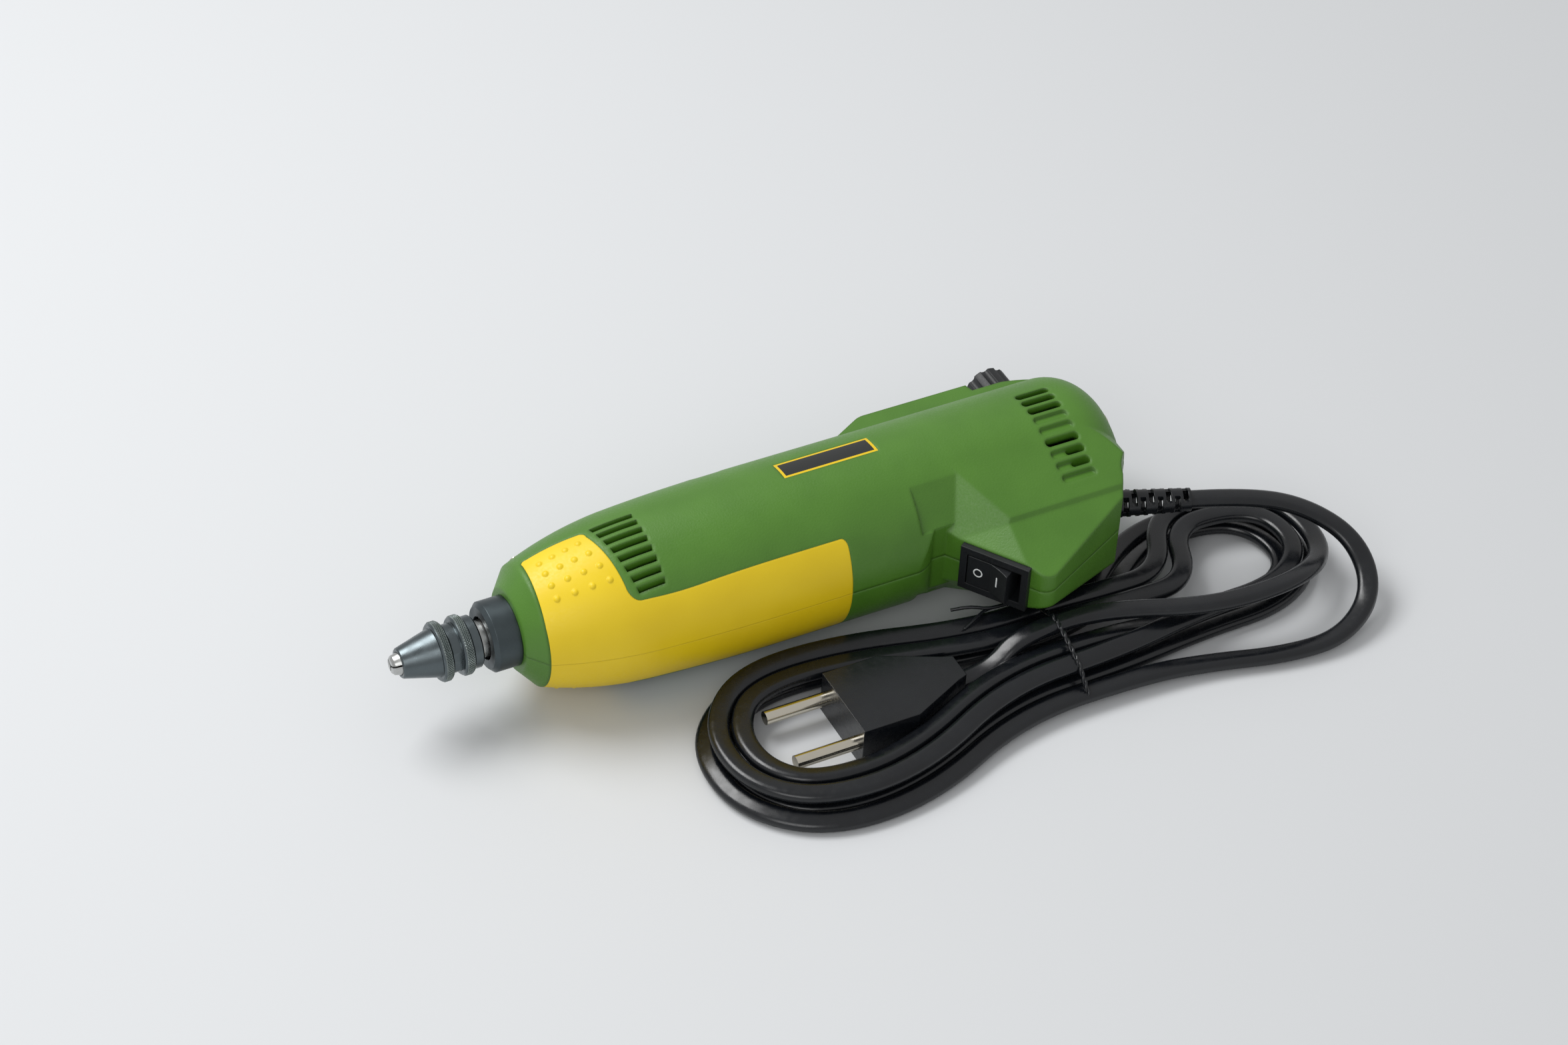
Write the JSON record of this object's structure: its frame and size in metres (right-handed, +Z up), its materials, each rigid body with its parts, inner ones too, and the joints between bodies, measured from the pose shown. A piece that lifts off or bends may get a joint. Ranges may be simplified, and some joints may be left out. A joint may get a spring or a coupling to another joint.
{
  "type": "rotary tool",
  "caption": "Corded rotary tool with a keyless chuck, mounting collar, speed dial, rocker switch and hanging bail, its mains lead tied into a hank that ends in a flat plug",
  "frame": {"origin": "on the floor, under the middle of the tool's box (lead, hank, tie and plug left out)", "axes": "+X from the chuck to the rear along the spindle, +Y towards the speed dial, +Z up; the tool lies on its side with the housing's parting plane level"},
  "size_m": [0.2767, 0.1243, 0.0504],
  "materials": {
    "green_shell": "fine grain",
    "yellow_grip": "soft matte",
    "badge": "satin",
    "dark_steel": "blued",
    "bright_steel": "ground",
    "nickel": "nickel plated",
    "zinc_steel": "zinc plated",
    "ferrite": "sintered",
    "copper_wire": "enamelled copper",
    "brass_part": "plain",
    "carbon": "pressed carbon",
    "board_green": "lacquered",
    "components": "satin",
    "black_plastic": "satin",
    "black_rubber": "smooth vinyl",
    "tie_wire": "plastic covered wire"
  },
  "bodies": {
    "root": {"housing_upper": "green_shell", "housing_lower": "green_shell", "grip_upper": "yellow_grip", "grip_lower": "yellow_grip", "badge_plate": "badge", "nose_collar": "dark_steel", "bearing_outer_rings": "bright_steel", "bearing_balls": "bright_steel", "motor_can": "zinc_steel", "motor_magnets": "ferrite", "motor_end_bell": "black_plastic", "brush_holders": "brass_part", "carbon_brushes": "carbon", "circuit_board": "board_green", "board_components": "components", "speed_potentiometer": "black_plastic", "switch_frame": "black_plastic", "switch_terminals": "brass_part", "housing_screws": "bright_steel", "strain_relief": "black_rubber", "cord_clamp": "black_plastic", "clamp_screws": "bright_steel", "cord_lead": "black_rubber", "cord_hank": "black_rubber", "cord_tail": "black_rubber", "hank_tie": "tie_wire", "plug_body": "black_rubber", "plug_pins": "nickel"},
    "rotor": {"spindle": "bright_steel", "bearing_inner_rings": "bright_steel", "cooling_fan": "black_plastic", "shaft_coupling": "black_plastic", "motor_shaft": "bright_steel", "armature_core": "zinc_steel", "armature_windings": "copper_wire", "commutator": "copper_wire", "chuck_body": "dark_steel"},
    "sleeve": {"chuck_sleeve": "dark_steel"},
    "jaw_1": {"chuck_jaw_1": "bright_steel"},
    "jaw_2": {"chuck_jaw_2": "bright_steel"},
    "jaw_3": {"chuck_jaw_3": "bright_steel"},
    "lock": {"spindle_lock_pin": "nickel"},
    "rocker": {"switch_rocker": "black_plastic"},
    "dial": {"speed_dial": "black_plastic"},
    "bail": {"hanging_bail": "nickel"}
  },
  "joints": [
    {"name": "spindle_spin", "type": "hinge", "parent": "root", "child": "rotor", "pos_m": [-0.0854, 0.0042, 0.0252], "axis": [1, 0, 0], "continuous": true},
    {"name": "sleeve_turn", "type": "hinge", "parent": "rotor", "child": "sleeve", "pos_m": [-0.1044, 0.0042, 0.0252], "axis": [1, 0, 0], "range_deg": [-360, 720]},
    {"name": "jaw_slide_1", "type": "slide", "parent": "rotor", "child": "jaw_1", "axis": [0.969, 0, 0.247], "range_m": [-0.00101, 0.00201]},
    {"name": "jaw_slide_2", "type": "slide", "parent": "rotor", "child": "jaw_2", "axis": [0.969, -0.2139, -0.1235], "range_m": [-0.00101, 0.00201]},
    {"name": "jaw_slide_3", "type": "slide", "parent": "rotor", "child": "jaw_3", "axis": [0.969, 0.2139, -0.1235], "range_m": [-0.00101, 0.00201]},
    {"name": "lock_press", "type": "slide", "parent": "root", "child": "lock", "axis": [0, -1, 0], "range_m": [0, 0.003], "stiffness_N_per_m": 400, "springref_m": -0.001},
    {"name": "rocker_tilt", "type": "hinge", "parent": "root", "child": "rocker", "pos_m": [0.05691, -0.02868, 0.0252], "axis": [0, 0, 1], "range_deg": [0, 24]},
    {"name": "dial_turn", "type": "hinge", "parent": "root", "child": "dial", "pos_m": [0.0915, 0.0342, 0.0252], "axis": [0, 1, 0], "range_deg": [0, 270]},
    {"name": "bail_swing", "type": "hinge", "parent": "root", "child": "bail", "pos_m": [0.1076, 0.0008, 0.0252], "axis": [0, 0, -1], "range_deg": [0, 150]}
  ],
  "couplings": [
    {"joint": "jaw_slide_1", "follows": "sleeve_turn", "m_per_rad": 0.00015915},
    {"joint": "jaw_slide_2", "follows": "sleeve_turn", "m_per_rad": 0.00015915},
    {"joint": "jaw_slide_3", "follows": "sleeve_turn", "m_per_rad": 0.00015915}
  ]
}
